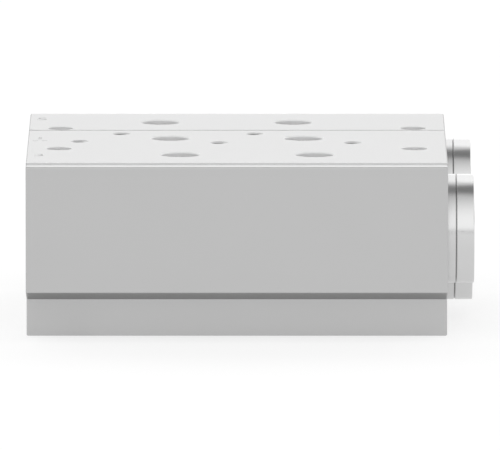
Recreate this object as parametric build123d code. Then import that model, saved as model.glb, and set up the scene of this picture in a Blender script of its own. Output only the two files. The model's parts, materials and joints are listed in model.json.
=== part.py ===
from build123d import *
import math
import os

# A hydraulic manifold block for two valves. It is a length of extruded bar, with three
# galleries running through it along X, two valve stations on top, and tapped gallery ends.
# The +X end of each gallery is shut by a blanking plug on a flat sealing ring.
# Millimetres, +Z up. The origin is the middle of the foot's underside.

# Bar, seen along X: a flat top between two lower rails, upright sides, sloped undersides, a foot
block_depth = 106.0
block_height = 45.0
rail_width = 4.9
rail_drop = 0.45
side_bottom = 13.0
foot_width = 73.6
foot_height = 9.2
bar_edge_radius = 0.3
rail_edge_radius = 0.12
end_chamfer = 0.25

# Shallow marking groove along the whole top, behind the middle
groove_offset = 15.75
groove_width = 1.4
groove_depth = 0.45

# Galleries, extruded at the core size of their tapped ends. The ends are G1/2 parallel pipe
# thread, open at its major diameter.
gallery_diameter = 18.6
gallery_to_side = 18.3
middle_gallery_height = 17.9
outer_gallery_height = 26.8
pipe_thread_diameter = 20.955
pipe_thread_spare = 3.0
pipe_thread_mouth = 22.0

# Valve stations: three ports each, in a slanting row, and two screw threads. The outer ports
# lie a step inside the outer galleries.
station_count = 2
station_pitch = 33.5
station_to_end = 35.75
port_diameter = 9.5
port_gallery_step = 2.8
port_stagger = 2.65
port_chamfer = 0.3
screw_offset_x = 12.3
screw_offset_y = 8.7

# Blind M4 threads, open at their major diameter
screw_thread_diameter = 4.0
screw_thread_mouth = 4.6
screw_thread_depth = 9.0
drill_point_angle = 118.0

# One more M4 thread at the open end, for an earth screw or a label holder
end_screw_from_end = 13.0
end_screw_from_middle = 6.0

# Through holes for the screws that hold the block down
mounting_hole_diameter = 6.4
mounting_hole_chamfer = 0.15
mounting_hole_from_end = 8.0
mounting_hole_spacing = 40.1

# Flat sealing ring, clamped between the plug's head and the block's end
ring_diameter = 27.2
ring_thickness = 2.0
ring_bore_clearance = 0.15

# Blanking plug: a round head, a threaded shank and a hexagon socket
plug_head_diameter = 27.2
plug_head_thickness = 4.65
plug_head_chamfer = 0.5
plug_seat_chamfer = 0.4
plug_shank_length = 14.0
plug_thread_clearance = 0.08
plug_end_chamfer = 0.6
socket_across_flats = 10.0
socket_depth = 6.5
socket_mouth_chamfer = 0.4

# How far a cutter runs out past the face that it cuts
cutter_overrun = 1.0

# Places that more than one piece needs
half_length = (station_count - 1) * station_pitch / 2 + station_to_end
half_depth = block_depth / 2
outer_gallery_offset = half_depth - gallery_to_side
port_row_offset = outer_gallery_offset - port_gallery_step
galleries = {
    "front": (-outer_gallery_offset, outer_gallery_height),
    "middle": (0.0, middle_gallery_height),
    "rear": (outer_gallery_offset, outer_gallery_height),
}
stations = [(i - (station_count - 1) / 2) * station_pitch for i in range(station_count)]


def cone_length(radius, point_angle):
    """Length of a drill's point with this radius and included angle."""
    return radius / math.tan(math.radians(point_angle / 2))


def turned(points, axis):
    """A solid of revolution from one half of its section."""
    return revolve(make_face(Polyline(*points, close=True)), axis=axis)


def bar_section():
    """The extruded section, in Y and Z."""
    rail_height = block_height - rail_drop
    right_side = [
        (foot_width / 2, 0),
        (foot_width / 2, foot_height),
        (half_depth, side_bottom),
        (half_depth, rail_height),
        (half_depth - rail_width, rail_height),
        (half_depth - rail_width, block_height),
    ]
    left_side = [(-y, z) for y, z in reversed(right_side)]
    return Plane.YZ * make_face(Polyline(*right_side, *left_side, close=True))


def bar():
    """The plain bar, cut to length, with its cut ends deburred and its long edges eased."""
    solid = extrude(bar_section(), amount=half_length, both=True)
    ends = solid.faces().filter_by(Axis.X)
    solid = chamfer(ends.edges(), end_chamfer)
    long_edges = solid.edges().filter_by(Axis.X)
    side_edges = long_edges.filter_by(lambda e: abs(abs(e.center().Y) - half_depth) < rail_width / 4)
    solid = fillet(side_edges, bar_edge_radius)
    top_edges = solid.edges().filter_by(Axis.X).group_by(Axis.Z)[-1]
    solid = fillet(top_edges, min(rail_edge_radius, 0.8 * rail_drop))
    groove = Box(2 * (half_length + cutter_overrun), groove_width, 2 * groove_depth)
    return solid - Pos(0, groove_offset, block_height) * groove


def gallery_cutter():
    """A gallery right through, wider at both ends for its pipe thread and its countersink."""
    gallery_radius = gallery_diameter / 2
    thread_radius = pipe_thread_diameter / 2
    mouth_step = (pipe_thread_mouth - pipe_thread_diameter) / 2
    thread_depth = plug_shank_length - ring_thickness + pipe_thread_spare
    thread_end = half_length - thread_depth
    right_end = [
        (thread_end, gallery_radius),
        (thread_end, thread_radius),
        (half_length - mouth_step, thread_radius),
        (half_length + cutter_overrun, thread_radius + mouth_step + cutter_overrun),
        (half_length + cutter_overrun, 0),
    ]
    left_end = [(-x, r) for x, r in reversed(right_end)]
    return turned(left_end + right_end, Axis.X)


def port_cutter(depth):
    """A valve port drilled down to its gallery, with a small chamfer at the mouth."""
    radius = port_diameter / 2
    half_section = [
        (0, 0, cutter_overrun),
        (radius + port_chamfer + cutter_overrun, 0, cutter_overrun),
        (radius, 0, -port_chamfer),
        (radius, 0, -depth),
        (0, 0, -depth),
    ]
    return turned(half_section, Axis.Z)


def screw_thread_cutter():
    """A blind tapped hole: countersink, thread and drill point."""
    thread_radius = screw_thread_diameter / 2
    mouth_step = (screw_thread_mouth - screw_thread_diameter) / 2
    half_section = [
        (0, 0, cutter_overrun),
        (thread_radius + mouth_step + cutter_overrun, 0, cutter_overrun),
        (thread_radius, 0, -mouth_step),
        (thread_radius, 0, -screw_thread_depth),
        (0, 0, -screw_thread_depth - cone_length(thread_radius, drill_point_angle)),
    ]
    return turned(half_section, Axis.Z)


def mounting_hole_cutter():
    """A plain hole right through, from the top down to the foot, chamfered at the top."""
    radius = mounting_hole_diameter / 2
    half_section = [
        (0, 0, cutter_overrun),
        (radius + mounting_hole_chamfer + cutter_overrun, 0, cutter_overrun),
        (radius, 0, -mounting_hole_chamfer),
        (radius, 0, -block_height - cutter_overrun),
        (0, 0, -block_height - cutter_overrun),
    ]
    return turned(half_section, Axis.Z)


def station_cutters(station_x):
    """The three ports and two screw threads of one valve station, as seen from above."""
    cutters = []
    for row, name in ((-1, "front"), (0, "middle"), (1, "rear")):
        depth = block_height - galleries[name][1]
        place = Pos(station_x - row * port_stagger, row * port_row_offset, block_height)
        cutters.append(place * port_cutter(depth))
    for side in (-1, 1):
        place = Pos(station_x + side * screw_offset_x, -side * screw_offset_y, block_height)
        cutters.append(place * screw_thread_cutter())
    return cutters


def manifold_block():
    """The machined bar: galleries, valve stations, end thread and mounting holes."""
    cutters = [Pos(0, y, z) * gallery_cutter() for y, z in galleries.values()]
    for station_x in stations:
        cutters += station_cutters(station_x)
    end_screw = Pos(end_screw_from_end - half_length, -end_screw_from_middle, block_height)
    cutters.append(end_screw * screw_thread_cutter())
    hole_x = half_length - mounting_hole_from_end
    for x in (-hole_x, hole_x):
        for y in (-mounting_hole_spacing / 2, mounting_hole_spacing / 2):
            cutters.append(Pos(x, y, block_height) * mounting_hole_cutter())
    solid = bar()
    for cutter in cutters:
        solid -= cutter
    return solid


def sealing_ring():
    """A flat ring along X, with its block side at X = 0."""
    outer = ring_diameter / 2
    inner = pipe_thread_diameter / 2 + ring_bore_clearance
    half_section = [(0, inner), (0, outer), (ring_thickness, outer), (ring_thickness, inner)]
    return turned(half_section, Axis.X)


def blanking_plug():
    """A plug along X, with the seat under its head at X = 0 and its key socket facing +X."""
    head_radius = plug_head_diameter / 2
    thread_radius = pipe_thread_diameter / 2 - plug_thread_clearance
    half_section = [
        (plug_head_thickness, 0),
        (plug_head_thickness, head_radius - plug_head_chamfer),
        (plug_head_thickness - plug_head_chamfer, head_radius),
        (plug_seat_chamfer, head_radius),
        (0, head_radius - plug_seat_chamfer),
        (0, thread_radius),
        (plug_end_chamfer - plug_shank_length, thread_radius),
        (-plug_shank_length, thread_radius - plug_end_chamfer),
        (-plug_shank_length, 0),
    ]
    solid = turned(half_section, Axis.X)
    hexagon = RegularPolygon(socket_across_flats / 2, 6, major_radius=False, rotation=30)
    socket_plane = Plane.YZ.offset(plug_head_thickness)
    solid -= extrude(socket_plane * hexagon, amount=-socket_depth)
    front_face = solid.faces().sort_by(Axis.X)[-1]
    return chamfer(front_face.inner_wires().edges(), socket_mouth_chamfer)


def save(shape, name):
    """Write one piece, named as a person would name it."""
    export_step(shape, f"parts/{name}.step")


os.makedirs("parts", exist_ok=True)
save(manifold_block(), "manifold_block")
for gallery, (y, z) in galleries.items():
    save(Pos(half_length, y, z) * sealing_ring(), f"sealing_ring_{gallery}")
    save(Pos(half_length + ring_thickness, y, z) * blanking_plug(), f"blanking_plug_{gallery}")
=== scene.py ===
import json
import math

import bmesh
import bpy
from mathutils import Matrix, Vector


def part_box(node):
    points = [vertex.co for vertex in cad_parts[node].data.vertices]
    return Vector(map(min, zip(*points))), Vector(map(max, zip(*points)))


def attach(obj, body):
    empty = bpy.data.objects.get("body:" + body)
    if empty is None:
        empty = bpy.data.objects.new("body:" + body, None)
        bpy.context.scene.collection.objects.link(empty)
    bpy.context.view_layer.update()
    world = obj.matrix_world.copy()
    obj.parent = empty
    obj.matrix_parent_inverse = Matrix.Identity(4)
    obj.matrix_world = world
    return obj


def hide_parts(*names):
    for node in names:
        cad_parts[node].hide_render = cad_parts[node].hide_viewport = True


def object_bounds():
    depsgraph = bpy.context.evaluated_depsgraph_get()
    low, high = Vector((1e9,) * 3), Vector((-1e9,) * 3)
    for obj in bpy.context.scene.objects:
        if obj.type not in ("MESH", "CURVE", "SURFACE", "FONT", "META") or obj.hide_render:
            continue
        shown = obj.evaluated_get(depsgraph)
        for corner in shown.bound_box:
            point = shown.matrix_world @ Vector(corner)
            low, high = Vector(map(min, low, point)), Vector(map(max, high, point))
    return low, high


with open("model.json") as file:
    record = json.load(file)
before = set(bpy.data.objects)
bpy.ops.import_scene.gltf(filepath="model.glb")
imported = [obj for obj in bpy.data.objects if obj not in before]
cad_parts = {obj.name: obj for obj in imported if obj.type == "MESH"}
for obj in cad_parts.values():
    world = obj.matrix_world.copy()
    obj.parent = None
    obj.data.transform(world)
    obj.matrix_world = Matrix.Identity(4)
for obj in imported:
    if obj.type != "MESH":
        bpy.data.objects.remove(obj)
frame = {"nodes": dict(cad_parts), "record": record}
cadLow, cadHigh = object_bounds()

mm = 0.001
samePlace = 0.01 * mm           # two places nearer than this count as one
weldGap = 1e-6                  # corners of neighbouring faces nearer than this are joined
seamAngle = 30                  # degrees; a sharper edge stays sharp in the shading
wavePeriod = math.pi / 10       # of a wave texture at scale 1

cadNodes = frame["nodes"]
mounts = {mount["name"]: mount for mount in frame["record"]["mounts"]}
blockLow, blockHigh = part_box("manifold_block")
blockCentre = (blockLow + blockHigh) / 2
galleryNames = ("front", "middle", "rear")
print("frame loaded,", len(cadNodes), "nodes")


# Small helpers for node trees.

def feed(tree, socket, value):
    if isinstance(value, bpy.types.NodeSocket):
        tree.links.new(value, socket)
    else:
        socket.default_value = value


def addNode(tree, kind, inputs=None, **settings):
    node = tree.nodes.new(kind)
    for name, value in settings.items():
        setattr(node, name, value)
    for name, value in (inputs or {}).items():
        feed(tree, node.inputs[name], value)
    return node


def compute(tree, operation, first, second):
    return addNode(tree, "ShaderNodeMath", {0: first, 1: second}, operation=operation).outputs[0]


def scaledPoint(tree, scale, offset=(0, 0, 0)):
    # the object's own coordinates, in metres, moved and then scaled
    place = addNode(tree, "ShaderNodeTexCoord").outputs["Object"]
    moved = addNode(tree, "ShaderNodeVectorMath", {0: place, 1: offset}, operation="ADD")
    scaled = {0: moved.outputs[0], 1: scale}
    return addNode(tree, "ShaderNodeVectorMath", scaled, operation="MULTIPLY").outputs[0]


def spread(tree, value, low, high):
    # maps a 0 to 1 texture value to a range
    inputs = {"Value": value, "To Min": low, "To Max": high}
    return addNode(tree, "ShaderNodeMapRange", inputs).outputs["Result"]


def newMaterial(name, look):
    material = bpy.data.materials.new(name)
    material.use_nodes = True
    tree = material.node_tree
    shader = tree.nodes["Principled BSDF"]
    shader.inputs["Metallic"].default_value = look["metallic"]
    shader.inputs["Specular Tint"].default_value = (*look["edgeTint"], 1)
    return tree, shader, material


def addClouds(tree, shader, look):
    # the base colour, a little lighter and darker in slow clouds
    point = scaledPoint(tree, (1 / look["cloudSize"],) * 3)
    noise = {"Vector": point, "Scale": 1.0, "Detail": look["cloudDetail"]}
    cloud = addNode(tree, "ShaderNodeTexNoise", noise).outputs["Fac"]
    low = [channel * (1 - look["cloudiness"]) for channel in look["colour"]]
    high = [channel * (1 + look["cloudiness"]) for channel in look["colour"]]
    mix = addNode(tree, "ShaderNodeMix", data_type="RGBA")
    for name, value in {"Factor": cloud, "A": (*low, 1), "B": (*high, 1)}.items():
        feed(tree, next(s for s in mix.inputs if s.name == name and s.enabled), value)
    colour = next(s for s in mix.outputs if s.enabled)
    tree.links.new(colour, shader.inputs["Base Color"])


def addMarks(tree, shader, look, height):
    # fine marks in the metal, which change its roughness and its relief a little
    tree.links.new(spread(tree, height, *look["roughness"]), shader.inputs["Roughness"])
    bump = {"Height": height, "Distance": look["lineDepth"], "Strength": 1.0}
    normal = addNode(tree, "ShaderNodeBump", bump).outputs["Normal"]
    tree.links.new(normal, shader.inputs["Normal"])


# Small helpers for meshes.

def weldedShape(node):
    # a copy of a solid's mesh, with its faces joined at their corners
    shape = bmesh.new()
    shape.from_mesh(cadNodes[node].data)
    bmesh.ops.remove_doubles(shape, verts=shape.verts, dist=weldGap)
    return shape


def addObject(shape, name):
    mesh = bpy.data.meshes.new(name)
    shape.to_mesh(mesh)
    shape.free()
    piece = bpy.data.objects.new(name, mesh)
    bpy.context.scene.collection.objects.link(piece)
    return piece


def finishMesh(shape, name, materials):
    # a finished piece, with smooth shading that breaks at real edges
    for face in shape.faces:
        face.smooth = True
    for edge in shape.edges:
        edge.smooth = len(edge.link_faces) == 2 and edge.calc_face_angle() < math.radians(seamAngle)
    piece = addObject(shape, name)
    for material in materials:
        piece.data.materials.append(material)
    weighted = piece.modifiers.new("flatFaces", "WEIGHTED_NORMAL")
    weighted.keep_sharp = True
    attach(piece, "root")
    return piece


# Threads: a ridge swept along a helix, which the holes and the plugs share.

pipeThread = {
    "pitch": 25.4 / 14 * mm,    # fourteen turns to the inch
    "depth": 1.162 * mm,
    "turnSteps": 72,
    "fadeTurns": 0.8,           # turns over which the ridge rises at each end
}
screwThread = {
    "pitch": 0.7 * mm,
    "depth": 0.38 * mm,
    "turnSteps": 32,
    "fadeTurns": 0.3,
}
ridgeForm = {
    "rootShare": 0.86,          # width at the foot, as a share of the pitch
    "crestShare": 0.24,         # width at the top, as a share of the pitch
    "seat": 0.02 * mm,          # how deep the ridge's foot sits in the metal
    "least": 0.02,              # share of its size that is left at its very ends
}


def helixRidge(shape, start, axis, length, rootRadius, crestRadius, thread):
    # a right-hand ridge: four points to a section, swept along the helix, with tapering ends
    side = axis.orthogonal().normalized()
    across = axis.cross(side)
    pitch = thread["pitch"]
    turns = length / pitch
    steps = int(turns * thread["turnSteps"])
    sections = []
    for i in range(steps + 1):
        turn = turns * i / steps
        fromEnd = min(turn, turns - turn)
        rise = max(ridgeForm["least"], min(1, fromEnd / thread["fadeTurns"]))
        crest = rootRadius + (crestRadius - rootRadius) * rise
        halfRoot = ridgeForm["rootShare"] / 2 * pitch * rise
        halfCrest = ridgeForm["crestShare"] / 2 * pitch * rise
        angle = 2 * math.pi * turn
        spoke = side * math.cos(angle) + across * math.sin(angle)
        centre = start + axis * pitch * turn
        lower = ((rootRadius, -halfRoot), (crest, -halfCrest))
        upper = ((crest, halfCrest), (rootRadius, halfRoot))
        sections.append([shape.verts.new(centre + spoke * r + axis * a) for r, a in lower + upper])
    for first, second in zip(sections, sections[1:]):
        for j in range(len(first)):
            k = (j + 1) % len(first)
            shape.faces.new((first[j], second[j], second[k], first[k]))
    shape.faces.new(sections[0])
    shape.faces.new(reversed(sections[-1]))


# The block's alloy: satin extruded skin and milled faces; the drilled walls and rails are painted
# lighter to lift their shade (painted light), and the holes' mouths carry a painted highlight.

skinLook = {
    "colour": (0.508, 0.508, 0.508),
    "metallic": 1.0,
    "edgeTint": (0.64, 0.64, 0.64),     # keeps grazing reflections down, as a satin skin does
    "cloudiness": 0.012,
    "cloudSize": 25 * mm,
    "cloudDetail": 3.0,
    "roughness": (0.32, 0.36),
    "dieLine": (60 * mm, 0.25 * mm),    # length and width of a die line along the bar
    "dieDetail": 2.0,
    "lineDepth": 0.8e-6,
}
# painted light: the rails are the skin made lighter and less metallic, to lift the shade that the
# step beside them puts into their reflection
railPaintedLightLook = dict(skinLook, colour=(0.72, 0.72, 0.72), metallic=0.2, edgeTint=(0.90, 0.90, 0.90))
milledLook = {
    "colour": (0.64, 0.64, 0.64),
    "metallic": 0.3,
    "edgeTint": (0.85, 0.85, 0.85),
    "cloudiness": 0.01,
    "cloudSize": 25 * mm,
    "cloudDetail": 3.0,
    "roughness": (0.38, 0.42),
    "millStep": 0.35 * mm,              # feed of the face mill
    "millRadius": 80 * mm,
    "lineDepth": 0.8e-6,
}
# painted light: the drilled walls are lighter and less metallic than the skin, to lift the real
# shade deep in the holes
drilledPaintedLightLook = {
    "colour": (0.76, 0.76, 0.76),
    "metallic": 0.3,
    "edgeTint": (0.90, 0.90, 0.90),
    "cloudiness": 0.01,
    "cloudSize": 10 * mm,
    "cloudDetail": 3.0,
    "roughness": (0.34, 0.38),
    "drillStep": 0.12 * mm,             # feed marks in the wall
    "lineDepth": 0.8e-6,
}
# painted light too: the small threads' walls are lighter and less metallic than the skin, to lift
# the shade in them
tappedPaintedLightLook = dict(drilledPaintedLightLook, colour=(0.58, 0.58, 0.58), metallic=0.5)
# painted highlight: the holes' mouths are a pale, non-metallic copy of the alloy, so they show as a
# bright ring
edgePaintedHighlightLook = {
    "colour": (0.79, 0.79, 0.79),
    "metallic": 0.0,
    "edgeTint": (0.90, 0.90, 0.90),
    "cloudiness": 0.01,
    "cloudSize": 10 * mm,
    "cloudDetail": 3.0,
    "roughness": (0.38, 0.44),
    "drillStep": 0.08 * mm,             # chatter left by the countersink
    "lineDepth": 0.5e-6,
}


def dieLines(tree, look):
    length, width = look["dieLine"]
    point = scaledPoint(tree, (1 / length, 1 / width, 1 / width))
    inputs = {"Vector": point, "Scale": 1.0, "Detail": look["dieDetail"]}
    return addNode(tree, "ShaderNodeTexNoise", inputs).outputs["Fac"]


def millArcs(tree, look):
    # arcs of a face mill that was fed along the bar
    point = scaledPoint(tree, (1, 1, 1), (look["millRadius"], 0, 0))
    inputs = {"Vector": point, "Scale": wavePeriod / look["millStep"]}
    wave = addNode(tree, "ShaderNodeTexWave", inputs, wave_type="RINGS", rings_direction="Z")
    return wave.outputs["Fac"]


def drillRings(direction):
    def lines(tree, look):
        point = scaledPoint(tree, (1, 1, 1))
        inputs = {"Vector": point, "Scale": wavePeriod / look["drillStep"]}
        wave = addNode(tree, "ShaderNodeTexWave", inputs, bands_direction=direction)
        return wave.outputs["Fac"]
    return lines


def alloyMaterial(name, look, lines):
    tree, shader, material = newMaterial(name, look)
    addClouds(tree, shader, look)
    addMarks(tree, shader, look, lines(tree, look))
    return material


# each finish of the block: its look, and the lines that its making left
blockFinishes = {
    "extrudedSkin": (skinLook, dieLines),
    "milledFace": (milledLook, millArcs),
    # painted light on the drilled walls
    "drilledUpright": (drilledPaintedLightLook, drillRings("Z")),
    "drilledAlong": (drilledPaintedLightLook, drillRings("X")),
    # painted highlight on the holes' mouths
    "paintedHighlightEdge": (edgePaintedHighlightLook, drillRings("Z")),
    # painted light in the small threads
    "tappedUpright": (tappedPaintedLightLook, drillRings("Z")),
    # painted light on the rails
    "paintedLightRail": (railPaintedLightLook, dieLines),
}
finishNames = list(blockFinishes)


# Turned parts: the plugs and their sealing rings.

plugLook = {
    "colour": (0.62, 0.62, 0.62),
    "metallic": 1.0,
    "edgeTint": (0.90, 0.90, 0.90),
    "cloudiness": 0.008,
    "cloudSize": 8 * mm,
    "cloudDetail": 2.0,
    "roughness": (0.17, 0.21),
    "turningStep": 0.15 * mm,
    "lineDepth": 0.3e-6,
}
ringLook = dict(plugLook, colour=(0.60, 0.60, 0.60), roughness=(0.20, 0.25), turningStep=0.1 * mm)
plugForm = {
    "headEdge": 0.16 * mm,      # the fine chamfer round the head
    "modelEdge": 0.6 * mm,      # as far in from the head's corner as the solid's chamfer reaches
    "shankShare": 0.8,          # the shank stays inside this share of the head's radius
    "relief": 1.6 * mm,         # plain neck between the head and the thread
    "lead": 0.3 * mm,           # plain tip before the thread
}


def turnedMaterial(name, look, axisPoint):
    # turning marks: rings along the axis on a round wall, and circles about it on a flat face
    tree, shader, material = newMaterial(name, look)
    addClouds(tree, shader, look)
    around = scaledPoint(tree, (0, 1, 1), (0, -axisPoint.y, -axisPoint.z))
    radius = addNode(tree, "ShaderNodeVectorMath", {0: around}, operation="LENGTH").outputs["Value"]
    along = addNode(tree, "ShaderNodeSeparateXYZ", {0: scaledPoint(tree, (1, 1, 1))}).outputs["X"]
    travel = compute(tree, "ADD", along, radius)
    travelPoint = addNode(tree, "ShaderNodeCombineXYZ", {"X": travel}).outputs[0]
    inputs = {"Vector": travelPoint, "Scale": wavePeriod / look["turningStep"]}
    addMarks(tree, shader, look, addNode(tree, "ShaderNodeTexWave", inputs).outputs["Fac"])
    return material


def spokeOf(vert, axisPoint):
    return Vector((0, vert.co.y - axisPoint.y, vert.co.z - axisPoint.z))


def turnedPlug(gallery, material, axisPoint):
    # the solid's own plug, with its head's edge made crisp and its shank threaded
    node = f"blanking_plug_{gallery}"
    low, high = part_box(node)
    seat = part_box(f"sealing_ring_{gallery}")[1].x
    headRadius = (high.z - low.z) / 2
    shankLimit = plugForm["shankShare"] * headRadius
    shape = weldedShape(node)
    behindSeat = [vert for vert in shape.verts if vert.co.x < seat + samePlace]
    shank = [vert for vert in behindSeat if spokeOf(vert, axisPoint).length < shankLimit]
    crest = max(spokeOf(vert, axisPoint).length for vert in shank)
    for vert in shape.verts:
        spoke = spokeOf(vert, axisPoint)
        fromFace = high.x - vert.co.x
        fromRim = headRadius - spoke.length
        if vert in shank:
            vert.co -= spoke.normalized() * pipeThread["depth"]
        elif max(fromFace, fromRim) < plugForm["modelEdge"]:
            if fromFace < samePlace:
                vert.co += spoke.normalized() * (fromRim - plugForm["headEdge"])
            else:
                vert.co.x = high.x - plugForm["headEdge"]
    start = Vector((low.x + plugForm["lead"], axisPoint.y, axisPoint.z))
    length = seat - plugForm["relief"] - start.x
    root = crest - pipeThread["depth"] - ridgeForm["seat"]
    helixRidge(shape, start, Vector((1, 0, 0)), length, root, crest, pipeThread)
    bmesh.ops.recalc_face_normals(shape, faces=shape.faces)
    plug = finishMesh(shape, f"blankingPlug.{gallery}", [material])
    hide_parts(node)


for gallery in galleryNames:
    low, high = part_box(f"blanking_plug_{gallery}")
    axisPoint = (low + high) / 2
    turnedPlug(gallery, turnedMaterial(f"turnedPlug.{gallery}", plugLook, axisPoint), axisPoint)
    ring = cadNodes[f"sealing_ring_{gallery}"]
    ring.data.materials.clear()
    ring.data.materials.append(turnedMaterial(f"turnedRing.{gallery}", ringLook, axisPoint))
print("plugs and rings turned")


# The block: the solid's own faces, with port numbers cut in and real threads in its holes.

numberLook = {
    "fromEnd": 3.05 * mm,
    "depth": 0.16 * mm,
    # each gallery's number, its height, and its shift from that gallery's port row
    "marks": {
        "front": ("3", 4.4 * mm, -1.2 * mm),
        "middle": ("1", 6.4 * mm, -2.0 * mm),
        "rear": ("5", 4.4 * mm, 6.3 * mm),
    },
    "footBar": (3.8 * mm, 0.55 * mm),       # width and thickness of the bar under the 1
}
valveScrews = {"along": 12.3 * mm, "across": 8.7 * mm}      # from the middle of a valve's two screws
finishLimits = {
    "endReach": 0.3 * mm,       # the deburred edge at each cut end
    "topReach": 0.6 * mm,       # the rails and the holes' mouths
    "sideReach": 0.4 * mm,      # the eased edges of the sides
    "footReach": 0.1 * mm,
    "screwReach": 2.5 * mm,     # about the axis of a small thread
    "galleryReach": 0.6 * mm,   # outside a pipe thread
    "railDrop": 0.2 * mm,       # the rails lie at least this far below the top
    "railInside": 8 * mm,       # and at least this far out from the foot's side
    "facing": 0.9,              # share of a face's direction that counts as looking that way
    "leaning": 0.5,
    "level": 1e-3,
}


def galleryAxes():
    ports = [mounts[f"end_port_{name}"] for name in galleryNames]
    return [(port["pos_m"], port["dims"]) for port in ports]


def screwMouths():
    # the mouths of the five small threads, where the wall starts
    endScrew = mounts["end_screw_thread"]
    length = endScrew["dims"]["length_mm"] * mm
    top = endScrew["pos_m"][2] + length / 2
    places = [Vector((endScrew["pos_m"][0], endScrew["pos_m"][1], top))]
    for side in ("left", "right"):
        middle = mounts[f"valve_screws_{side}"]["pos_m"]
        for sign in (-1, 1):
            x = middle[0] + sign * valveScrews["along"]
            y = middle[1] - sign * valveScrews["across"]
            places.append(Vector((x, y, top)))
    return places, length, endScrew["dims"]["r_mm"] * mm


def footEdge():
    # how far the foot reaches out from the middle
    corners = [vert.co for vert in cadNodes["manifold_block"].data.vertices]
    return max(corner.y for corner in corners if corner.z - blockLow.z < finishLimits["footReach"])


def numberShape(text, height):
    # the number as a solid: its height as given, its middle at the origin
    letters = bpy.data.curves.new("number", "FONT")
    letters.body = text
    letters.extrude = numberLook["depth"]
    holder = bpy.data.objects.new("number", letters)
    bpy.context.scene.collection.objects.link(holder)
    bpy.context.view_layer.update()
    graph = bpy.context.evaluated_depsgraph_get()
    shape = bmesh.new()
    shape.from_mesh(bpy.data.meshes.new_from_object(holder.evaluated_get(graph)))
    bpy.data.objects.remove(holder)
    across = [vert.co.x for vert in shape.verts]
    upright = [vert.co.y for vert in shape.verts]
    scale = height / (max(upright) - min(upright))
    for vert in shape.verts:
        vert.co.x = (vert.co.x - (max(across) + min(across)) / 2) * scale
        vert.co.y = (vert.co.y - (max(upright) + min(upright)) / 2) * scale
    bmesh.ops.remove_doubles(shape, verts=shape.verts, dist=weldGap)
    return shape


def barShape(width, thickness):
    shape = bmesh.new()
    bmesh.ops.create_cube(shape, size=1.0)
    bmesh.ops.scale(shape, vec=(width, thickness, 2 * numberLook["depth"]), verts=shape.verts)
    return shape


def addCutter(shape, place):
    cutter = addObject(shape, "numberCutter")
    cutter.location = place
    return cutter


def numberCutters():
    cutters = []
    for gallery, (text, height, shift) in numberLook["marks"].items():
        portY = mounts[f"valve_port_{gallery}_left"]["pos_m"][1]
        place = Vector((blockLow.x + numberLook["fromEnd"], portY + shift, blockHigh.z))
        cutters.append(addCutter(numberShape(text, height), place))
        if text == "1":
            width, thickness = numberLook["footBar"]
            foot = place - Vector((0, (height - thickness) / 2, 0))
            cutters.append(addCutter(barShape(width, thickness), foot))
    return cutters


def engravedBlock():
    solid = addObject(weldedShape("manifold_block"), "blockSolid")
    cutters = numberCutters()
    for cutter in cutters:
        cut = solid.modifiers.new("number", "BOOLEAN")
        cut.operation = "DIFFERENCE"
        cut.solver = "EXACT"
        cut.object = cutter
    graph = bpy.context.evaluated_depsgraph_get()
    shape = bmesh.new()
    shape.from_mesh(solid.evaluated_get(graph).to_mesh())
    for used in (solid, *cutters):
        bpy.data.objects.remove(used)
    return shape


def cutThread(shape, start, axis, length, wall, thread):
    # an inside thread: the ridge stands inwards from the hole's wall, a hair into the metal
    helixRidge(shape, start, axis, length, wall + ridgeForm["seat"], wall - thread["depth"], thread)


def cutThreads(shape):
    for middle, dims in galleryAxes():
        length = dims["length_mm"] * mm
        start = Vector(middle) + Vector((length / 2, 0, 0))
        cutThread(shape, start, Vector((-1, 0, 0)), length, dims["r_mm"] * mm, pipeThread)
    mouths, length, wall = screwMouths()
    for mouth in mouths:
        start = mouth - Vector((0, 0, length))
        cutThread(shape, start, Vector((0, 0, 1)), length, wall, screwThread)


def finishOf(centre, normal):
    # which finish a face of the block has, from where it lies and which way it looks
    limits = finishLimits
    facing, leaning = limits["facing"], limits["leaning"]
    fromTop = blockHigh.z - centre.z
    outward = abs(centre.y) - footSide
    nearEnd = blockHigh.x - abs(centre.x) < limits["endReach"]
    atSide = blockHigh.y - abs(centre.y) < limits["sideReach"]
    alongBar = abs(normal.x) < limits["level"]
    if nearEnd and abs(normal.x) > facing:
        return "milledFace"
    if nearEnd and abs(normal.x) > leaning:
        return "extrudedSkin"       # the deburred edge of the cut
    fromScrews = [math.hypot(centre.x - place.x, centre.y - place.y) for place in screwPlaces]
    # the small threads' walls: painted light
    if normal.z < facing and min(fromScrews) < limits["screwReach"]:
        return "tappedUpright"
    if fromTop < limits["topReach"] and not atSide:
        onRail = fromTop > limits["railDrop"] and outward > limits["railInside"]
        # the rails get the skin's painted-light copy
        if onRail and normal.z > leaning:
            return "paintedLightRail"
        # the holes' sloped mouths: painted highlight
        if leaning < normal.z < facing:
            return "paintedHighlightEdge"
        if normal.z > facing or alongBar and abs(normal.y) > facing:
            return "milledFace"
    # the gallery walls and the other drilled walls carry the drilled look's painted light
    for middle, dims in galleryAxes():
        fromAxis = math.hypot(centre.y - middle[1], centre.z - middle[2])
        if fromAxis < dims["r_mm"] * mm + limits["galleryReach"]:
            return "drilledAlong"
    underneath = centre.z - blockLow.z < limits["footReach"]
    if atSide or underneath or alongBar and outward > -limits["footReach"]:
        return "extrudedSkin"
    return "drilledUpright"


def makeBlock():
    shape = engravedBlock()
    cutThreads(shape)
    bmesh.ops.recalc_face_normals(shape, faces=shape.faces)
    for face in shape.faces:
        finish = finishOf(face.calc_center_median(), face.normal)
        face.material_index = finishNames.index(finish)
    materials = [alloyMaterial(name, *blockFinishes[name]) for name in finishNames]
    block = finishMesh(shape, "machinedBlock", materials)
    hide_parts("manifold_block")


footSide = footEdge()
screwPlaces = screwMouths()[0]
makeBlock()
print("block machined")


# Stage: a pale floor under a soft dome, which is brighter low in front and behind than overhead.

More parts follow.
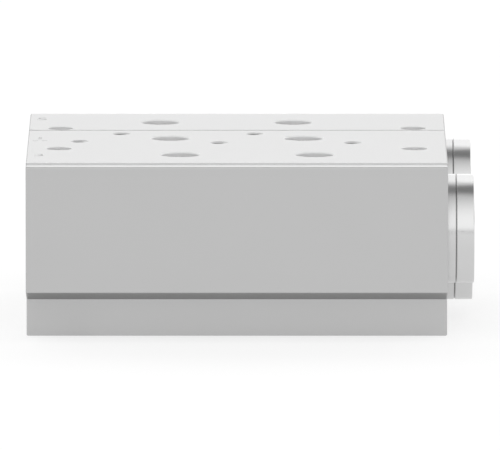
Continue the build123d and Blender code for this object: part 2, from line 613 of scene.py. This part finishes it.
floorLook = {"colour": (0.34, 0.34, 0.34), "roughness": 0.9, "reach": 12.0, "whitening": 0.70}
domeLook = {
    "strength": 2.1,
    # degrees from the horizon in front, over the top, to the horizon behind: share of the strength
    "bands": {
        0: 0.15, 3: 0.54, 8: 0.66, 30: 0.65, 48: 0.58,
        66: 0.46, 81: 0.34, 91: 0.12, 106: 0.13,
        117: 0.44, 127: 0.71, 160: 0.66, 170: 0.74,
    },
}


def addFloor():
    shape = bmesh.new()
    bmesh.ops.create_grid(shape, x_segments=1, y_segments=1, size=floorLook["reach"])
    floor = addObject(shape, "floor")
    floor.location.z = cadLow.z
    material = bpy.data.materials.new("paleFloor")
    material.use_nodes = True
    tree = material.node_tree
    shader = tree.nodes["Principled BSDF"]
    shader.inputs["Base Color"].default_value = (*floorLook["colour"], 1)
    shader.inputs["Roughness"].default_value = floorLook["roughness"]
    shader.inputs["Specular IOR Level"].default_value = 0.0
    shader.inputs["Emission Color"].default_value = (1, 1, 1, 1)
    rays = addNode(tree, "ShaderNodeLightPath").outputs
    seen = compute(tree, "ADD", rays["Is Camera Ray"], rays["Is Glossy Ray"])
    seen = compute(tree, "ADD", seen, rays["Is Transmission Ray"])
    glow = spread(tree, seen, 0.0, floorLook["whitening"])
    tree.links.new(glow, shader.inputs["Emission Strength"])
    floor.data.materials.append(material)


def addDome():
    world = bpy.data.worlds.new("softDome")
    bpy.context.scene.world = world
    world.use_nodes = True
    tree = world.node_tree
    tree.nodes.clear()
    direction = addNode(tree, "ShaderNodeTexCoord").outputs["Generated"]
    parts = addNode(tree, "ShaderNodeSeparateXYZ", {0: direction}).outputs
    front = compute(tree, "MULTIPLY", parts["Y"], -1.0)
    angle = compute(tree, "ARCTAN2", parts["Z"], front)
    share = compute(tree, "DIVIDE", angle, math.pi)
    ramp = addNode(tree, "ShaderNodeValToRGB", {0: share})
    stops = ramp.color_ramp.elements
    stops.remove(stops[-1])         # a new ramp has two stops, and the first is used below
    for i, (degrees, brightness) in enumerate(domeLook["bands"].items()):
        stop = stops[0] if i == 0 else stops.new(degrees / 180)
        stop.color = (brightness, brightness, brightness, 1)
    light = {"Color": ramp.outputs["Color"], "Strength": domeLook["strength"]}
    dome = addNode(tree, "ShaderNodeBackground", light).outputs[0]
    addNode(tree, "ShaderNodeOutputWorld", {"Surface": dome})


addFloor()
addDome()
print("stage lit")


# Camera: a long lens in front of the block, a little above it.

cameraLook = {
    "elevation": 7.6,           # degrees above the horizon
    "distance": 4.462,
    "lens": 1277,               # millimetres, like the sensor's width
    "sensor": 36,
    "farthest": 50,
    "aside": 3.28 * mm,         # its aim, from the block's middle
    "above": 0.48 * mm,
}


def addCamera():
    lens = bpy.data.cameras.new("camera")
    lens.lens = cameraLook["lens"]
    lens.sensor_width = cameraLook["sensor"]
    lens.clip_end = cameraLook["farthest"]
    camera = bpy.data.objects.new("camera", lens)
    elevation = math.radians(cameraLook["elevation"])
    back = Vector((0, -math.cos(elevation), math.sin(elevation)))
    up = Vector((0, math.sin(elevation), math.cos(elevation)))
    aim = blockCentre + Vector((cameraLook["aside"], 0, 0)) + up * cameraLook["above"]
    camera.location = aim + back * cameraLook["distance"]
    camera.rotation_euler = (math.pi / 2 - elevation, 0, 0)
    bpy.context.scene.collection.objects.link(camera)
    bpy.context.scene.camera = camera
    bpy.context.scene.view_settings.view_transform = "Standard"


addCamera()
print("camera set")
